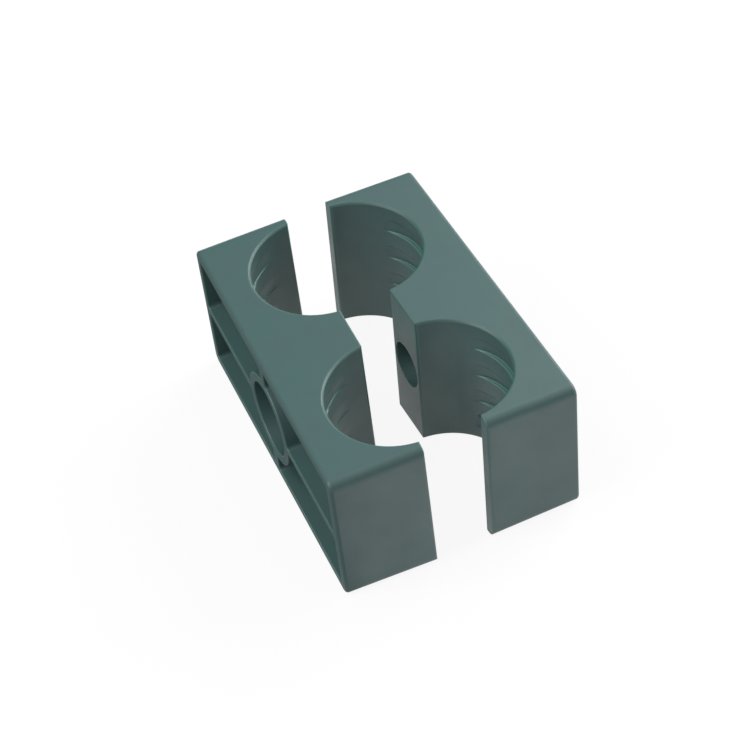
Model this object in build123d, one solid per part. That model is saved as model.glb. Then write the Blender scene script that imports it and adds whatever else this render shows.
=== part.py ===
from build123d import *
import math
import os

# Twin-tube hydraulic clamp body in two loose, identical moulded halves.
# Millimetres. +Z up and along the tubes, +X along the long side, Y across the parting gap.
# The two halves stand on one of their side faces with the parting faces turned to each other.

# ---- driving sizes of one half ----
BODY_LENGTH = 67.0          # along X, over both end faces
BODY_WIDTH = 30.0           # along the tubes, at the parting face
HALF_DEPTH = 17.75          # parting face to back rim
TUBE_SPACING = 36.0         # between the two tube axes
TUBE_DIAMETER = 25.4        # tube the seats are made for
SEAT_CLEARANCE = 0.0        # radial room between seat and tube before clamping
CLAMP_GAP = 2.2             # gap left between the halves when they sit on the tubes
SIDE_DRAFT_DEG = 1.0        # each side face slopes in towards the back

# ---- seat profile: crescent grooves, deepest at the bottom of the seat ----
GROOVE_COUNT = 4
GROOVE_PITCH = 6.8
GROOVE_WIDTH = 3.1
GROOVE_DEPTH = 0.75
GROOVE_ARC_REDUCTION = 1.8  # groove radius is this much under the seat radius

# ---- bolt hole and round boss on the back ----
BOLT_DIAMETER = 8.0
BOLT_HOLE_CLEARANCE = 0.5   # radial
BOSS_RADIUS = 9.1
BOSS_WALL = 1.8
BOLT_HOLE_LENGTH = 9.3      # parting face to floor of the cup in the boss

# ---- pockets in the back ----
END_WALL = 2.0
SIDE_WALL = 1.8             # at the back rim
LONG_RIB = 1.3              # rib along the body at mid width
CROSS_RIB = 1.8             # ribs across the body, above and below the boss
SEAT_WALL = 2.6             # plastic left between a seat and the pocket behind it
POCKET_FLOOR = 8.5          # parting face to the flat part of a pocket floor
POCKET_DRAFT_DEG = 1.0
POCKET_CORNER = 0.8

# ---- roundings ----
END_EDGE_ROUND = 1.9        # edges between end faces and side faces
BACK_RIM_ROUND = 0.6
TIP_CORNER_ROUND = 0.5      # outer corner of each end land
SEAT_EDGE_BREAK = 0.35      # small bevel on both rims and both land corners of each seat

# ---- how the two halves stand ----
HALF_GAP = 9.4              # between the parting faces at the foot, at mid length
HALF_SHIFT = -0.8           # second half along X
HALF_YAW_DEG = 3.0          # second half turned about Z

# ---- derived ----
SEAT_RADIUS = TUBE_DIAMETER / 2 + SEAT_CLEARANCE
SEAT_AXIS_X = TUBE_SPACING / 2
SEAT_AXIS_Y = -CLAMP_GAP / 2
BOLT_HOLE_RADIUS = BOLT_DIAMETER / 2 + BOLT_HOLE_CLEARANCE
CUP_RADIUS = BOSS_RADIUS - BOSS_WALL
MID_Z = BODY_WIDTH / 2
DRAFT_IN = HALF_DEPTH * math.tan(math.radians(SIDE_DRAFT_DEG))


def outer_block():
    """Block of the half: its side faces slope in towards the back, its outer edges are rounded."""
    section = Polygon(
        (0, 0),
        (HALF_DEPTH, DRAFT_IN),
        (HALF_DEPTH, BODY_WIDTH - DRAFT_IN),
        (0, BODY_WIDTH),
        align=None,
    )
    block = extrude(Plane.YZ * section, BODY_LENGTH / 2, both=True)
    ends = block.faces().sort_by(Axis.X)
    end_edges = ends[0].edges() + ends[-1].edges()
    end_edges = [edge for edge in end_edges if edge.bounding_box().size.Y > HALF_DEPTH / 2]
    block = fillet(end_edges, END_EDGE_ROUND)
    return fillet(block.faces().sort_by(Axis.Y)[-1].edges(), BACK_RIM_ROUND)


def tip_envelope():
    """Upright block with rounded outer corners at the parting face."""
    length = HALF_DEPTH + END_EDGE_ROUND
    outline = Pos(0, length / 2) * Rectangle(BODY_LENGTH, length)
    corners = outline.vertices().sort_by(Axis.Y)[:2]
    return extrude(fillet(corners, TIP_CORNER_ROUND), BODY_WIDTH * 1.5, both=True)


def seat_cutter(side):
    """Round tube seat, its axis a little outside the parting face."""
    seat = Cylinder(SEAT_RADIUS, BODY_WIDTH * 2)
    return Pos(side * SEAT_AXIS_X, SEAT_AXIS_Y, MID_Z) * seat


def groove_cutters(side):
    """Crescent grooves: arcs of a smaller radius moved deeper than the seat."""
    radius = SEAT_RADIUS - GROOVE_ARC_REDUCTION
    centre_y = SEAT_AXIS_Y + GROOVE_ARC_REDUCTION + GROOVE_DEPTH
    cutters = []
    for index in range(GROOVE_COUNT):
        offset = (index - (GROOVE_COUNT - 1) / 2) * GROOVE_PITCH
        groove = Cylinder(radius, GROOVE_WIDTH)
        cutters.append(Pos(side * SEAT_AXIS_X, centre_y, MID_Z + offset) * groove)
    return cutters


def back_plane():
    """Sketch plane on the back rim whose normal points into the half."""
    return Plane(origin=(0, HALF_DEPTH, MID_Z), x_dir=(1, 0, 0), z_dir=(0, -1, 0))


def pocket_cutter(side_x, side_z):
    """One of the four pockets between outer walls, ribs, boss and seats."""
    x_in = CROSS_RIB / 2
    x_out = BODY_LENGTH / 2 - END_WALL
    z_in = LONG_RIB / 2
    z_out = BODY_WIDTH / 2 - DRAFT_IN - SIDE_WALL
    width = x_out - x_in
    height = z_out - z_in
    outline = Pos(x_in + width / 2, z_in + height / 2) * Rectangle(width, height)
    outline = outline - Circle(BOSS_RADIUS)
    outline = fillet(outline.vertices(), POCKET_CORNER)
    if side_x < 0:
        outline = mirror(outline, Plane.YZ)
    if side_z < 0:
        outline = mirror(outline, Plane.XZ)
    depth = HALF_DEPTH - POCKET_FLOOR
    cutter = extrude(back_plane() * outline, depth, dir=(0, -1, 0), taper=POCKET_DRAFT_DEG)
    shell = Pos(side_x * SEAT_AXIS_X, SEAT_AXIS_Y, MID_Z) * Cylinder(SEAT_RADIUS + SEAT_WALL, BODY_WIDTH * 2)
    return cutter - shell


def cup_cutter():
    """Round cup in the boss for the head or nut of the bolt."""
    depth = HALF_DEPTH - BOLT_HOLE_LENGTH
    cup = Cylinder(CUP_RADIUS, depth)
    return Pos(0, HALF_DEPTH - depth / 2, MID_Z) * Rot(90, 0, 0) * cup


def bolt_hole_cutter():
    """Clearance hole for the bolt between the two tubes."""
    hole = Cylinder(BOLT_HOLE_RADIUS, HALF_DEPTH * 3)
    return Pos(0, 0, MID_Z) * Rot(90, 0, 0) * hole


def seat_outline(shape):
    """Edges round both seats: the curved rims and the corners with the lands."""
    found = []
    for edge in shape.edges():
        centre = edge.center()
        size = edge.bounding_box().size
        corner = size.Z > BODY_WIDTH / 2 and abs(centre.Y) < 0.05
        corner = corner and abs(centre.X) < SEAT_AXIS_X + SEAT_RADIUS
        rim = size.X > SEAT_RADIUS * 1.8 and size.Y > SEAT_RADIUS * 0.7 and size.Z < 1
        if corner or rim:
            found.append(edge)
    return found


def half():
    """One clamp half: parting face at y = 0, back rim at y = HALF_DEPTH, tubes along Z."""
    body = outer_block() & tip_envelope()
    for side in (-1, 1):
        body = body - seat_cutter(side)
    body = chamfer(seat_outline(body), SEAT_EDGE_BREAK)
    for side in (-1, 1):
        for groove in groove_cutters(side):
            body = body - groove
    for side_x in (-1, 1):
        for side_z in (-1, 1):
            body = body - pocket_cutter(side_x, side_z)
    body = body - cup_cutter() - bolt_hole_cutter()
    return body


def standing(shape, tilt_deg):
    """Tilt a half about X so its sloping side face lies flat on the floor."""
    return Rot(tilt_deg, 0, 0) * shape


def halves():
    """Both halves where they stand, before the pair is centred."""
    left = standing(Rot(0, 0, 180) * half(), SIDE_DRAFT_DEG)
    right = standing(half(), -SIDE_DRAFT_DEG)
    right = Pos(HALF_SHIFT, HALF_GAP, 0) * Rot(0, 0, HALF_YAW_DEG) * right
    return left, right


def centred(shapes):
    """Move the pair so the middle of its footprint is the origin and it stands on z = 0."""
    boxes = [shape.bounding_box() for shape in shapes]
    mid_x = (min(b.min.X for b in boxes) + max(b.max.X for b in boxes)) / 2
    mid_y = (min(b.min.Y for b in boxes) + max(b.max.Y for b in boxes)) / 2
    floor_z = min(b.min.Z for b in boxes)
    return [Pos(-mid_x, -mid_y, -floor_z) * shape for shape in shapes]


def main():
    os.makedirs("parts", exist_ok=True)
    left, right = centred(halves())
    export_step(left.solid(), "parts/clamp_half_left.step")
    export_step(right.solid(), "parts/clamp_half_right.step")


if __name__ == "__main__":
    main()
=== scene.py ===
"""Two loose halves of a twin-tube hydraulic clamp, dressed on their CAD solids.

Both halves are one-shot mouldings in green polypropylene. Their CAD meshes stay as they are and get
the moulded finish here; the stage is a pale floor, soft lamps and one camera.
"""

import math

import bpy
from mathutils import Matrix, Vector

bl_info = {
    "name": "Twin tube clamp halves",
    "version": (1, 0, 0),
    "blender": (4, 5, 0),
    "location": "View3D > Sidebar > Clamp",
    "description": "Moulded finish and stage for a pair of loose tube clamp halves",
    "category": "Object",
}

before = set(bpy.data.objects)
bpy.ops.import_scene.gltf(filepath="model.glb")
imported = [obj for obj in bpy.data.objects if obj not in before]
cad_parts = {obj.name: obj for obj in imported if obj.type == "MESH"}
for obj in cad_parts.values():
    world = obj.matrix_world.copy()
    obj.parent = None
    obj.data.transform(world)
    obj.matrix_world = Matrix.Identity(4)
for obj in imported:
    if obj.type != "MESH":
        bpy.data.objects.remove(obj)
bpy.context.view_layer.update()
MM = 0.001


def linear(hex_colour):
    """sRGB hex such as "2f6b5e" turned into linear red, green and blue."""
    channels = [int(hex_colour[i : i + 2], 16) / 255 for i in (0, 2, 4)]
    return tuple(
        c / 12.92 if c <= 0.04045 else ((c + 0.055) / 1.055) ** 2.4 for c in channels
    )


# ---------------------------------------------------------------- settings


class ClampPlasticSettings(bpy.types.PropertyGroup):
    """Colours and grain of the moulded halves."""

    body_colour: bpy.props.FloatVectorProperty(
        name="Body colour",
        description="Green of the polypropylene",
        subtype="COLOR",
        min=0.0,
        max=1.0,
        default=linear("3f615f"),
    )
    flow_colour: bpy.props.FloatVectorProperty(
        name="Flow colour",
        description="Slightly greyer green where the melt ran along the mould",
        subtype="COLOR",
        min=0.0,
        max=1.0,
        default=linear("3d5d5c"),
    )
    # Painted highlight: the edge colour is a lighter green painted on the edges and on the lower lips
    # of the seat grooves, where light would catch them.
    edge_highlight_colour: bpy.props.FloatVectorProperty(
        name="Edge colour",
        description="Lighter green of the thin, slightly stressed edges",
        subtype="COLOR",
        min=0.0,
        max=1.0,
        default=linear("4c8c7c"),
    )
    roughness: bpy.props.FloatProperty(
        name="Roughness",
        description="Gloss of the eroded mould surface, 0 is a mirror",
        min=0.0,
        max=1.0,
        default=0.5,
    )
    gloss: bpy.props.FloatProperty(
        name="Gloss",
        description="Strength of the surface reflection, 0.5 is that of a clean smooth skin",
        min=0.0,
        max=1.0,
        default=1.0,
    )
    grain_size: bpy.props.FloatProperty(
        name="Grain size",
        description="Width of one grain of the eroded mould surface",
        unit="LENGTH",
        min=0.05 * MM,
        max=2.0 * MM,
        default=0.35 * MM,
        precision=5,
    )
    flow_size: bpy.props.FloatProperty(
        name="Flow size",
        description="Width of one flow patch in the plastic",
        unit="LENGTH",
        min=1.0 * MM,
        max=50.0 * MM,
        default=9.0 * MM,
        precision=5,
    )
    edge_width: bpy.props.FloatProperty(
        name="Edge width",
        description="How far the small roundness of the edges reaches",
        unit="LENGTH",
        min=0.05 * MM,
        max=1.0 * MM,
        default=0.4 * MM,
        precision=5,
    )


class ClampStageSettings(bpy.types.PropertyGroup):
    """Floor, lamps and camera."""

    floor_size: bpy.props.FloatProperty(
        name="Floor size",
        description="Side of the square floor",
        unit="LENGTH",
        min=0.5,
        max=10.0,
        default=4.0,
    )
    floor_colour: bpy.props.FloatVectorProperty(
        name="Floor colour",
        description="Pale floor",
        subtype="COLOR",
        min=0.0,
        max=1.0,
        default=linear("f4f4f4"),
    )
    bounce: bpy.props.FloatProperty(
        name="Floor bounce",
        description="Share of the light that the floor throws back on the part",
        min=0.0,
        max=1.0,
        default=0.25,
    )
    shade_reach: bpy.props.FloatProperty(
        name="Shade reach",
        description="How far from the halves the mirrored floor is shaded by them",
        unit="LENGTH",
        min=0.0,
        max=1.0,
        default=40.0 * MM,
        precision=5,
    )
    card_edge: bpy.props.FloatProperty(
        name="Card edge",
        description="Place across the pair beyond which the mirrored floor is dark",
        unit="LENGTH",
        min=-1.0,
        max=1.0,
        default=-22.0 * MM,
        precision=5,
    )
    paper_white: bpy.props.FloatProperty(
        name="Paper white",
        description="How much of the floor's own shade gives way to plain white",
        min=0.0,
        max=1.0,
        default=0.9,
    )
    far_lamp: bpy.props.FloatProperty(
        name="Far lamp",
        description="Power of the soft lamp over the far end",
        unit="POWER",
        min=0.0,
        max=200.0,
        default=4.1,
    )
    back_lamp: bpy.props.FloatProperty(
        name="Back lamp",
        description="Power of the low soft lamp behind the right half",
        unit="POWER",
        min=0.0,
        max=200.0,
        default=3.8,
    )
    front_lamp: bpy.props.FloatProperty(
        name="Front lamp",
        description="Power of the high soft lamp over the left half",
        unit="POWER",
        min=0.0,
        max=200.0,
        default=2.4,
    )
    low_lamp: bpy.props.FloatProperty(
        name="Low lamp",
        description="Power of the lower soft lamp beside the left half",
        unit="POWER",
        min=0.0,
        max=200.0,
        default=2.6,
    )
    sky: bpy.props.FloatProperty(
        name="Surrounding light",
        description="Strength of the even light from all round",
        min=0.0,
        max=5.0,
        default=0.45,
    )
    mirrored_sky: bpy.props.FloatProperty(
        name="Mirrored room",
        description="Strength of the room as the plastic mirrors it",
        min=0.0,
        max=5.0,
        default=0.03,
    )
    mirrored_floor: bpy.props.FloatProperty(
        name="Mirrored floor",
        description="Strength of the floor as the plastic mirrors it",
        min=0.0,
        max=5.0,
        default=1.2,
    )
    camera_lens: bpy.props.FloatProperty(
        name="Camera lens",
        description="Focal length in millimetres on a 36 mm sensor",
        min=10.0,
        max=400.0,
        default=135.86,
    )


# ---------------------------------------------------------------- helpers


def add_node(tree, kind, settings=None, **inputs):
    """Adds one shader node, sets its properties and fills or links its inputs.

    An input's value is either a constant or an output socket; a key such as i1 means input number 1.
    """
    node = tree.nodes.new(kind)
    for key, value in (settings or {}).items():
        setattr(node, key, value)
    for key, value in inputs.items():
        if key[0] == "i" and key[1:].isdigit():
            socket = node.inputs[int(key[1:])]
        else:
            socket = node.inputs[key.replace("_", " ")]
        if isinstance(value, bpy.types.NodeSocket):
            tree.links.new(value, socket)
        else:
            socket.default_value = value
    return node


def new_material(name):
    """An empty node material and its tree."""
    material = bpy.data.materials.new(name)
    material.use_nodes = True
    material.node_tree.nodes.clear()
    return material, material.node_tree


def wear(node_object, material):
    """Gives every material slot of a piece this one material."""
    slots = node_object.data.materials
    if not len(slots):
        slots.append(material)
    for index in range(len(slots)):
        slots[index] = material


# ---------------------------------------------------------------- materials


SEATS = {  # middle between a half's two seat axes at the foot, and its turn about Z in degrees
    "clamp_half_left": ((0.85 * MM, -4.38 * MM), 0.0),
    "clamp_half_right": ((0.08 * MM, 2.73 * MM), 183.0),
}
SEAT_LEAN = math.tan(math.radians(1.0))  # each half leans away from the gap
HALF_PITCH = 18.0 * MM  # half the distance between the two seat axes
HALF_STEP = 3.4 * MM  # half the distance between grooves up the seat
GROOVE_FIRST = 4.8 * MM  # lowest groove's middle above the floor
GROOVE_DISC_RADIUS = 11.71 * MM
GROOVE_DISC_ALONG = 0.42 * MM  # the groove disc's centre, off the seat axis
GROOVE_DISC_DEEP = 1.69 * MM
GROOVE_DEPTH = 0.75 * MM
LIP_HIGHLIGHT_MOST = 0.8  # share of the painted highlight colour on the most strongly painted groove lip

# One row is one step: its result's name, the kind of node and its settings, then its inputs in
# order. x, y and z run along the half, across it and up; other words are results of rows above.
# Each of the four smooth ramps rises from 0 to 1 between two levels, counted from a groove's middle.
SMOOTH = {"interpolation_type": "SMOOTHSTEP"}
GROOVE_STEPS = (
    ("past_axis", "ShaderNodeMath", {"operation": "SUBTRACT"}, "x", HALF_PITCH),
    ("along", "ShaderNodeMath", {"operation": "WRAP"}, "past_axis", HALF_PITCH, -HALF_PITCH),
    ("deep", "ShaderNodeMath", {"operation": "MULTIPLY_ADD"}, "z", SEAT_LEAN, "y"),
    ("off_x", "ShaderNodeMath", {"operation": "ADD"}, "along", GROOVE_DISC_ALONG),
    ("off_y", "ShaderNodeMath", {"operation": "ADD"}, "deep", GROOVE_DISC_DEEP),
    ("off_y_square", "ShaderNodeMath", {"operation": "MULTIPLY"}, "off_y", "off_y"),
    ("off_square", "ShaderNodeMath", {"operation": "MULTIPLY_ADD"}, "off_x", "off_x", "off_y_square"),
    ("off", "ShaderNodeMath", {"operation": "SQRT"}, "off_square"),
    ("reach", "ShaderNodeMath", {"operation": "SUBTRACT"}, GROOVE_DISC_RADIUS, "off"),
    ("reach_out", "ShaderNodeMath", {"operation": "MAXIMUM"}, "reach", 0.0),
    ("depth", "ShaderNodeMath", {"operation": "MINIMUM"}, "reach_out", GROOVE_DEPTH),
    ("up", "ShaderNodeMath", {"operation": "SUBTRACT"}, "z", GROOVE_FIRST),
    ("level", "ShaderNodeMath", {"operation": "WRAP"}, "up", HALF_STEP, -HALF_STEP),
    ("above_wall", "ShaderNodeMapRange", SMOOTH, "level", -1.85 * MM, -1.25 * MM),
    ("below_top", "ShaderNodeMapRange", SMOOTH, "level", 1.6 * MM, -0.6 * MM),
    ("band", "ShaderNodeMath", {"operation": "MULTIPLY"}, "above_wall", "below_top"),
    ("sunk", "ShaderNodeMath", {"operation": "MULTIPLY"}, "depth", "band"),
    ("height", "ShaderNodeMath", {"operation": "MULTIPLY"}, "sunk", -1.0),
    # The next five rows paint a highlight on the lower lip of each groove, stronger where the groove
    # is deeper.
    ("above_lip", "ShaderNodeMapRange", SMOOTH, "level", -2.1 * MM, -1.6 * MM),
    ("below_lip", "ShaderNodeMapRange", SMOOTH, "level", -1.0 * MM, -1.5 * MM),
    ("lip", "ShaderNodeMath", {"operation": "MULTIPLY"}, "above_lip", "below_lip"),
    ("shown", "ShaderNodeMapRange", {}, "depth", 0.05 * MM, 0.35 * MM, 0.0, LIP_HIGHLIGHT_MOST),
    ("light_lip", "ShaderNodeMath", {"operation": "MULTIPLY"}, "lip", "shown"),
)


def groove_relief(tree, place, middle, turn):
    """Height of the skin where the seat grooves run out, in metres, and the share of painted highlight
    on their lower lip.

    A groove is where a disc, set a little off the seat axis, reaches past the seat wall; its depth is
    the disc's radius less the distance from the disc's centre. The grooves repeat up the seat, each
    with a crisp lower lip and a long soft upper side. The solids hold them too, over a shorter arc.
    """
    local = add_node(
        tree,
        "ShaderNodeMapping",
        {"vector_type": "TEXTURE"},
        Vector=place,
        Location=(*middle, 0.0),
        Rotation=(0.0, 0.0, math.radians(turn)),
    ).outputs["Vector"]
    axes = add_node(tree, "ShaderNodeSeparateXYZ", Vector=local).outputs
    known = {"x": axes["X"], "y": axes["Y"], "z": axes["Z"]}
    for name, kind, settings, *terms in GROOVE_STEPS:
        inputs = {f"i{index}": known.get(term, term) for index, term in enumerate(terms)}
        known[name] = add_node(tree, kind, settings, **inputs).outputs[0]
    return known["height"], known["light_lip"]


WHITE = (1.0, 1.0, 1.0, 1.0)
NEARBY_RAYS = 8  # rays with which a node feels for nearby faces
IOR_POLYPROPYLENE = 1.49
FLOW_NOISE = {"Detail": 3.0, "Roughness": 0.55}
GRAIN_NOISE = {"Detail": 2.0, "Roughness": 0.6}
FLOW_LOW, FLOW_HIGH = 0.35, 0.65  # noise values between which the two greens blend
GLOSS_LOW, GLOSS_HIGH = 0.3, 0.7  # noise values between which the roughness varies
GLOSS_SPREAD = 0.04
EDGE_STARTS, EDGE_FULL = 0.998, 0.9  # agreement of the true and the rounded normal
# Most of the painted edge highlight colour that an edge gets.
EDGE_HIGHLIGHT_MOST = 0.6
GRAIN_STRENGTH = 0.12
GRAIN_HEIGHT = 0.02 * MM


def moulded_polypropylene(settings, name, middle, turn):
    """Green polypropylene, injection moulded in a spark-eroded steel mould.

    The eye gets a semi-matt, faintly grainy skin, slow patches of flow in its colour, and edges that
    are a little rounder than the faces, with a painted highlight in lighter green along them and along
    the lower lips of the seat grooves. The grooves in the seats run out softly.
    """
    # The eroded grain is about 0.1 mm wide, too fine to show, so it is drawn three times as coarse.
    # A flow patch is some 9 mm wide, a quarter of the distance between the seats.
    material, tree = new_material(name)
    place = add_node(tree, "ShaderNodeTexCoord").outputs["Object"]

    flow = add_node(
        tree,
        "ShaderNodeTexNoise",
        Vector=place,
        Scale=1.0 / settings.flow_size,
        **FLOW_NOISE,
    ).outputs["Fac"]
    flow_share = add_node(
        tree,
        "ShaderNodeMapRange",
        Value=flow,
        From_Min=FLOW_LOW,
        From_Max=FLOW_HIGH,
    ).outputs["Result"]
    body = add_node(
        tree,
        "ShaderNodeMix",
        {"data_type": "RGBA"},
        Factor=flow_share,
        i6=(*settings.body_colour, 1.0),
        i7=(*settings.flow_colour, 1.0),
    ).outputs[2]

    # There is an edge where the rounded normal leaves the true one; there a highlight is painted in a
    # lighter green.
    true_normal = add_node(tree, "ShaderNodeNewGeometry").outputs["Normal"]
    round_normal = add_node(
        tree, "ShaderNodeBevel", {"samples": NEARBY_RAYS}, Radius=settings.edge_width
    ).outputs["Normal"]
    agreement = add_node(
        tree,
        "ShaderNodeVectorMath",
        {"operation": "DOT_PRODUCT"},
        i0=true_normal,
        i1=round_normal,
    ).outputs["Value"]
    edge_highlight_share = add_node(
        tree,
        "ShaderNodeMapRange",
        Value=agreement,
        From_Min=EDGE_STARTS,
        From_Max=EDGE_FULL,
        To_Max=EDGE_HIGHLIGHT_MOST,
    ).outputs["Result"]
    # The lower lips of the seat grooves get the same painted highlight as the edges.
    relief, lip = groove_relief(tree, place, middle, turn)
    edge_highlight_share = add_node(
        tree, "ShaderNodeMath", {"operation": "MAXIMUM"}, i0=edge_highlight_share, i1=lip
    ).outputs["Value"]
    # Mixes the painted highlight colour into the body colour on edges and groove lips.
    colour = add_node(
        tree,
        "ShaderNodeMix",
        {"data_type": "RGBA"},
        Factor=edge_highlight_share,
        i6=body,
        i7=(*settings.edge_highlight_colour, 1.0),
    ).outputs[2]

    grain = add_node(
        tree,
        "ShaderNodeTexNoise",
        Vector=place,
        Scale=1.0 / settings.grain_size,
        **GRAIN_NOISE,
    ).outputs["Fac"]
    grooved = add_node(
        tree,
        "ShaderNodeBump",
        Strength=1.0,
        Distance=1.0,
        Height=relief,
        Normal=round_normal,
    ).outputs["Normal"]
    skin = add_node(
        tree,
        "ShaderNodeBump",
        Strength=GRAIN_STRENGTH,
        Distance=GRAIN_HEIGHT,
        Height=grain,
        Normal=grooved,
    ).outputs["Normal"]
    gloss = add_node(
        tree,
        "ShaderNodeMapRange",
        Value=flow,
        From_Min=GLOSS_LOW,
        From_Max=GLOSS_HIGH,
        To_Min=settings.roughness - GLOSS_SPREAD,
        To_Max=settings.roughness + GLOSS_SPREAD,
    ).outputs["Result"]
    shader = add_node(
        tree,
        "ShaderNodeBsdfPrincipled",
        Base_Color=colour,
        Roughness=gloss,
        IOR=IOR_POLYPROPYLENE,
        Specular_IOR_Level=settings.gloss,
        Normal=skin,
    )
    add_node(tree, "ShaderNodeOutputMaterial", Surface=shader.outputs["BSDF"])
    return material


CARD_SOFTNESS = 5 * MM  # the card edge fades over this much to each side
CARD_LEVEL = 0.25  # mirrored floor beyond the card edge
SHADED_LEVEL = 0.55  # share of the mirrored floor left where the halves hide it in full
FLOOR_DROP = 0.05 * MM  # keeps the floor clear of the faces that the halves stand on


def pale_floor(settings):
    """Matt white paper.

    Seen directly it is mostly plain white and still holds a soft shadow. Mirrored in the plastic it is
    white up to the card edge and dark beyond it, as if a dark card stood beside the left half, and it
    is shaded close to the halves and between them. The light it throws back on the part is held down
    by the bounce. From below it is clear.
    """
    material, tree = new_material("pale_paper_floor")
    light = add_node(tree, "ShaderNodeLightPath").outputs
    paper = add_node(
        tree,
        "ShaderNodeMix",
        {"data_type": "RGBA"},
        Factor=light["Is Diffuse Ray"],
        i6=(*settings.floor_colour, 1.0),
        i7=(settings.bounce, settings.bounce, settings.bounce, 1.0),
    ).outputs[2]
    matt = add_node(tree, "ShaderNodeBsdfDiffuse", Color=paper).outputs["BSDF"]
    spot = add_node(tree, "ShaderNodeNewGeometry").outputs["Position"]
    across = add_node(tree, "ShaderNodeSeparateXYZ", Vector=spot).outputs["Y"]
    mirrored = add_node(
        tree,
        "ShaderNodeMapRange",
        Value=across,
        From_Min=settings.card_edge - CARD_SOFTNESS,
        From_Max=settings.card_edge + CARD_SOFTNESS,
        To_Min=CARD_LEVEL,
        To_Max=settings.mirrored_floor,
    ).outputs["Result"]
    open_floor = add_node(
        tree,
        "ShaderNodeAmbientOcclusion",
        {"samples": NEARBY_RAYS},
        Distance=settings.shade_reach,
    ).outputs["AO"]
    shaded = add_node(
        tree,
        "ShaderNodeMapRange",
        Value=open_floor,
        To_Min=SHADED_LEVEL,
    ).outputs["Result"]
    mirrored = add_node(
        tree, "ShaderNodeMath", {"operation": "MULTIPLY"}, i0=mirrored, i1=shaded
    ).outputs["Value"]
    strength = add_node(
        tree,
        "ShaderNodeMapRange",
        Value=light["Is Glossy Ray"],
        To_Min=1.0,
        To_Max=mirrored,
    ).outputs["Result"]
    white = add_node(tree, "ShaderNodeEmission", Color=WHITE, Strength=strength)
    share = add_node(
        tree,
        "ShaderNodeMath",
        {"operation": "MULTIPLY_ADD", "use_clamp": True},
        i0=light["Is Camera Ray"],
        i1=settings.paper_white,
        i2=light["Is Glossy Ray"],
    ).outputs["Value"]
    mixed = add_node(
        tree, "ShaderNodeMixShader", i0=share, i1=matt, i2=white.outputs["Emission"]
    )
    clear = add_node(tree, "ShaderNodeBsdfTransparent").outputs["BSDF"]
    below = add_node(tree, "ShaderNodeNewGeometry").outputs["Backfacing"]
    shown = add_node(
        tree, "ShaderNodeMixShader", i0=below, i1=mixed.outputs["Shader"], i2=clear
    )
    add_node(tree, "ShaderNodeOutputMaterial", Surface=shown.outputs["Shader"])
    return material


# ---------------------------------------------------------------- stage parts


def add_floor(settings):
    """A flat square just under the feet of the halves."""
    half = settings.floor_size / 2
    mesh = bpy.data.meshes.new("floor")
    outline = ((-half, -half), (half, -half), (half, half), (-half, half))
    mesh.from_pydata([(*corner, -FLOOR_DROP) for corner in outline], [], [(0, 1, 2, 3)])
    floor = bpy.data.objects.new("floor", mesh)
    bpy.context.scene.collection.objects.link(floor)
    mesh.materials.append(pale_floor(settings))


LAMPS = (  # name, direction from +X towards +Y and height above the floor, in degrees
    ("far_lamp", 120, 35),
    ("back_lamp", 90, 25),
    ("front_lamp", 270, 60),
    ("low_lamp", 270, 35),
)
LAMP_AWAY = 0.9  # metres from the part
LAMP_SIDE = 0.5


def add_lamp(name, azimuth, height, power):
    """A square soft lamp in one direction from the part, facing it."""
    data = bpy.data.lights.new(name, "AREA")
    data.shape = "SQUARE"
    data.size = LAMP_SIDE
    data.energy = power
    lamp = bpy.data.objects.new(name, data)
    turn, rise = math.radians(azimuth), math.radians(height)
    way = Vector(
        (math.cos(rise) * math.cos(turn), math.cos(rise) * math.sin(turn), math.sin(rise))
    )
    lamp.location = way * LAMP_AWAY
    lamp.rotation_euler = way.to_track_quat("Z", "Y").to_euler()
    bpy.context.scene.collection.objects.link(lamp)


def set_sky(settings):
    """Even light from all round; seen directly the room is plain white, mirrored it is dimmer."""
    world = bpy.data.worlds.new("even_white_room")
    world.use_nodes = True
    tree = world.node_tree
    tree.nodes.clear()
    light = add_node(tree, "ShaderNodeLightPath").outputs
    level = add_node(
        tree,
        "ShaderNodeMapRange",
        Value=light["Is Glossy Ray"],
        To_Min=settings.sky,
        To_Max=settings.mirrored_sky,
    ).outputs["Result"]
    level = add_node(
        tree,
        "ShaderNodeMath",
        {"operation": "MAXIMUM"},
        i0=level,
        i1=light["Is Camera Ray"],
    ).outputs["Value"]
    back = add_node(tree, "ShaderNodeBackground", Color=WHITE, Strength=level)
    add_node(tree, "ShaderNodeOutputWorld", Surface=back.outputs["Background"])
    bpy.context.scene.world = world


CAMERA_PLACE = (0.344658, -0.113867, 0.387195)  # metres
CAMERA_TURN = (44.0526, 4.6407, 67.2712)  # degrees about X, Y and Z
SENSOR_WIDTH = 36.0  # millimetres
NEAREST, FARTHEST = 0.01, 20.0  # metres that the camera sees


def add_camera(settings):
    """The camera that looks down on the pair from beyond its near end."""
    data = bpy.data.cameras.new("camera")
    data.lens = settings.camera_lens
    data.sensor_width = SENSOR_WIDTH
    data.clip_start = NEAREST
    data.clip_end = FARTHEST
    camera = bpy.data.objects.new("camera", data)
    camera.location = CAMERA_PLACE
    camera.rotation_euler = [math.radians(a) for a in CAMERA_TURN]
    bpy.context.scene.collection.objects.link(camera)
    bpy.context.scene.camera = camera


# ---------------------------------------------------------------- operators


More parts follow.
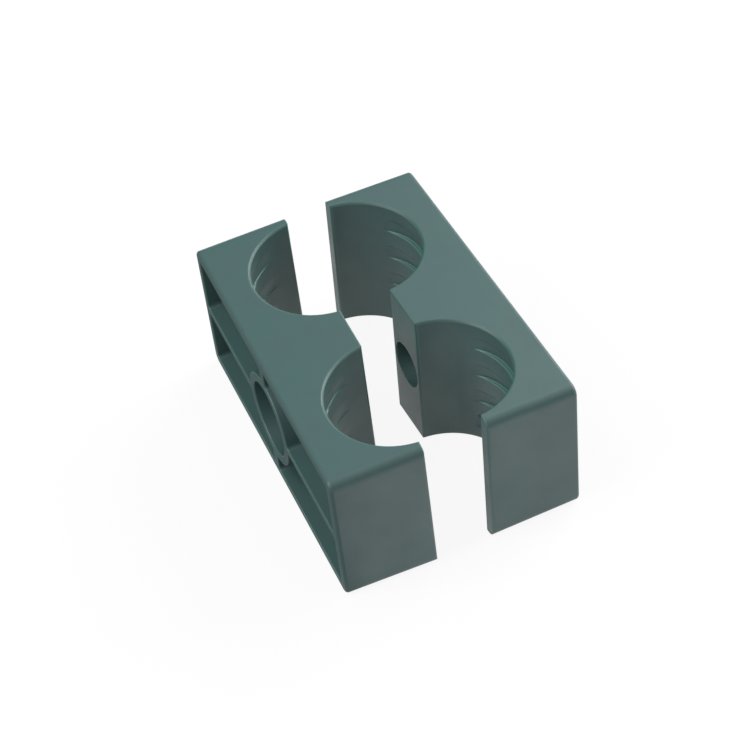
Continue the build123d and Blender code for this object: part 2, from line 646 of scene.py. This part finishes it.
class CLAMP_OT_dress_halves(bpy.types.Operator):
    """Give both clamp halves the moulded polypropylene skin"""

    bl_idname = "clamp.dress_halves"
    bl_label = "Dress clamp halves"

    def execute(self, context):
        for name, (middle, turn) in SEATS.items():
            material = moulded_polypropylene(
                context.scene.clamp_plastic,
                f"moulded_green_polypropylene_{name}",
                middle,
                turn,
            )
            wear(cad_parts[name], material)
        return {"FINISHED"}


class CLAMP_OT_build_stage(bpy.types.Operator):
    """Lay the floor, hang the lamps and place the camera"""

    bl_idname = "clamp.build_stage"
    bl_label = "Build stage"

    def execute(self, context):
        settings = context.scene.clamp_stage
        add_floor(settings)
        set_sky(settings)
        for name, azimuth, height in LAMPS:
            add_lamp(name, azimuth, height, getattr(settings, name))
        add_camera(settings)
        context.scene.view_settings.view_transform = "Standard"
        return {"FINISHED"}


class CLAMP_PT_sidebar(bpy.types.Panel):
    """Lists the clamp's operators and settings"""

    bl_idname = "CLAMP_PT_sidebar"
    bl_label = "Tube clamp"
    bl_space_type = "VIEW_3D"
    bl_region_type = "UI"
    bl_category = "Clamp"

    def draw(self, context):
        layout = self.layout
        for operator in OPERATORS:
            layout.operator(operator.bl_idname)
        for settings in (context.scene.clamp_plastic, context.scene.clamp_stage):
            box = layout.box()
            for key in settings.__annotations__:
                box.prop(settings, key)


OPERATORS = (CLAMP_OT_dress_halves, CLAMP_OT_build_stage)
CLASSES = (ClampPlasticSettings, ClampStageSettings, *OPERATORS, CLAMP_PT_sidebar)


def register():
    for cls in CLASSES:
        bpy.utils.register_class(cls)
    bpy.types.Scene.clamp_plastic = bpy.props.PointerProperty(type=ClampPlasticSettings)
    bpy.types.Scene.clamp_stage = bpy.props.PointerProperty(type=ClampStageSettings)


def unregister():
    del bpy.types.Scene.clamp_stage
    del bpy.types.Scene.clamp_plastic
    for cls in reversed(CLASSES):
        bpy.utils.unregister_class(cls)


def main():
    """Register and run every operator in order."""
    register()
    bpy.ops.clamp.dress_halves()
    bpy.ops.clamp.build_stage()


if __name__ == "__main__":
    main()
